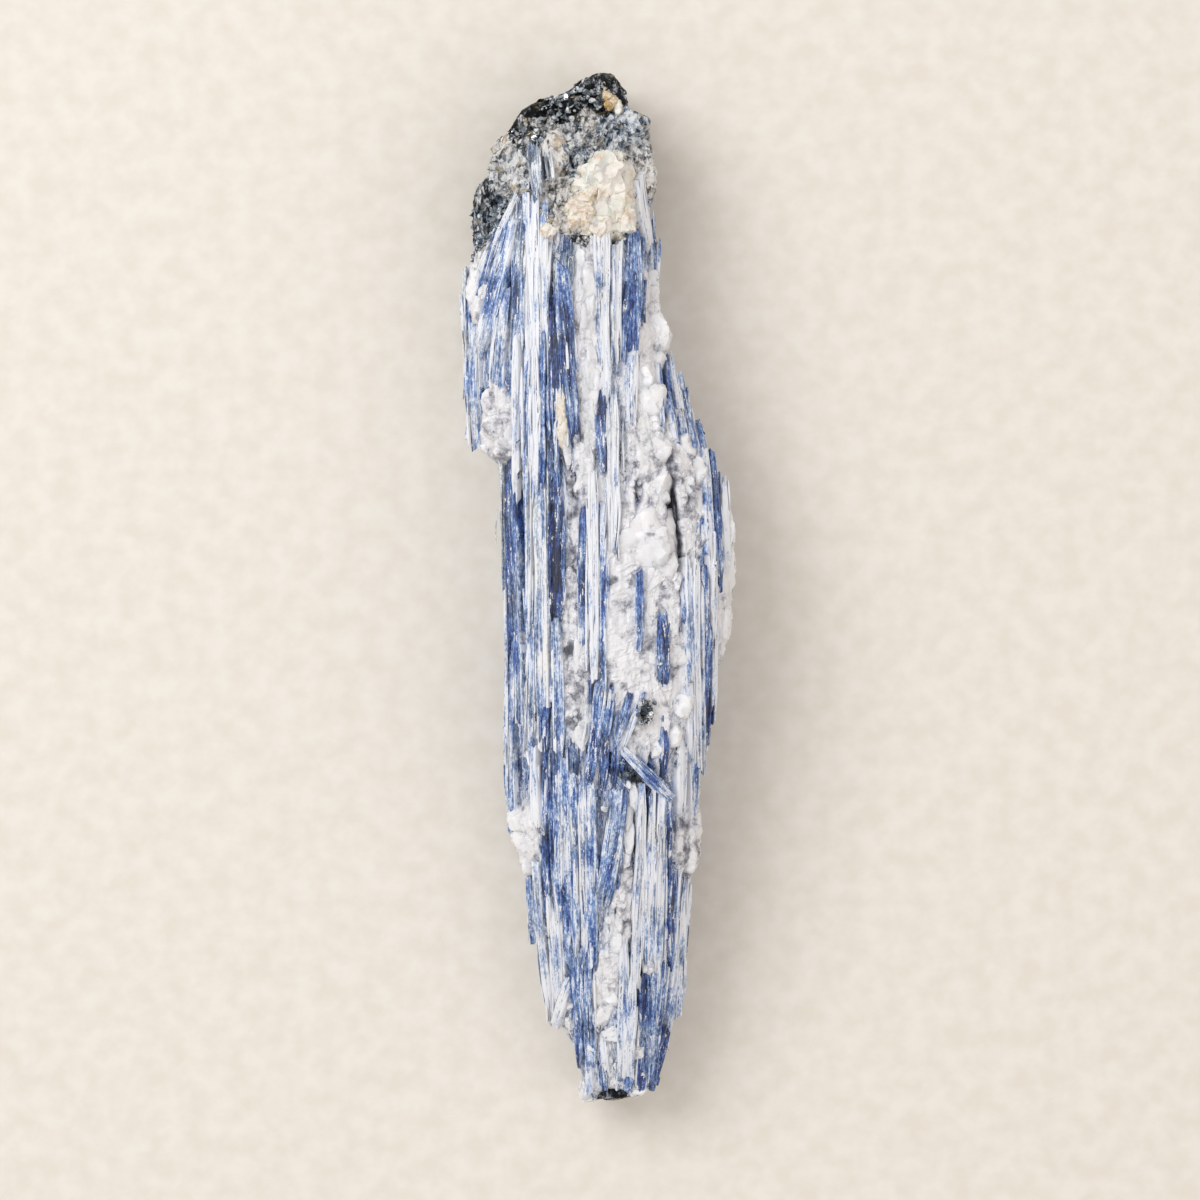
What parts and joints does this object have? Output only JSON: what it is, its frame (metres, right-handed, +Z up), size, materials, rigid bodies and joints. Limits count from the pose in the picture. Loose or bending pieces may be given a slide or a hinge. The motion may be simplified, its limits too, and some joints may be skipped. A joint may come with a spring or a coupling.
{
  "type": "kyanite blade cluster",
  "caption": "Long spindle-shaped stone of blue and white kyanite blades with quartz grown between them and a dark mica schist head.",
  "frame": {"origin": "middle of the stone's bounding box in plan, on the level of the face it rests on", "axes": "+Y along the blades towards the schist head, +Z up from the resting face, +X to the right seen from above with the head at the far end"},
  "size_m": [0.041, 0.1544, 0.0278],
  "materials": {
    "kyanite": "fibrous blades, pearly on the cleavage faces",
    "quartz": "broken, milky to grey, greasy sheen",
    "mica_schist": "dark, fine grained, glittering flakes",
    "feldspar": "dull cream with ochre stains"
  },
  "bodies": {
    "root": {"kyanite_cluster": "kyanite"}
  },
  "joints": []
}
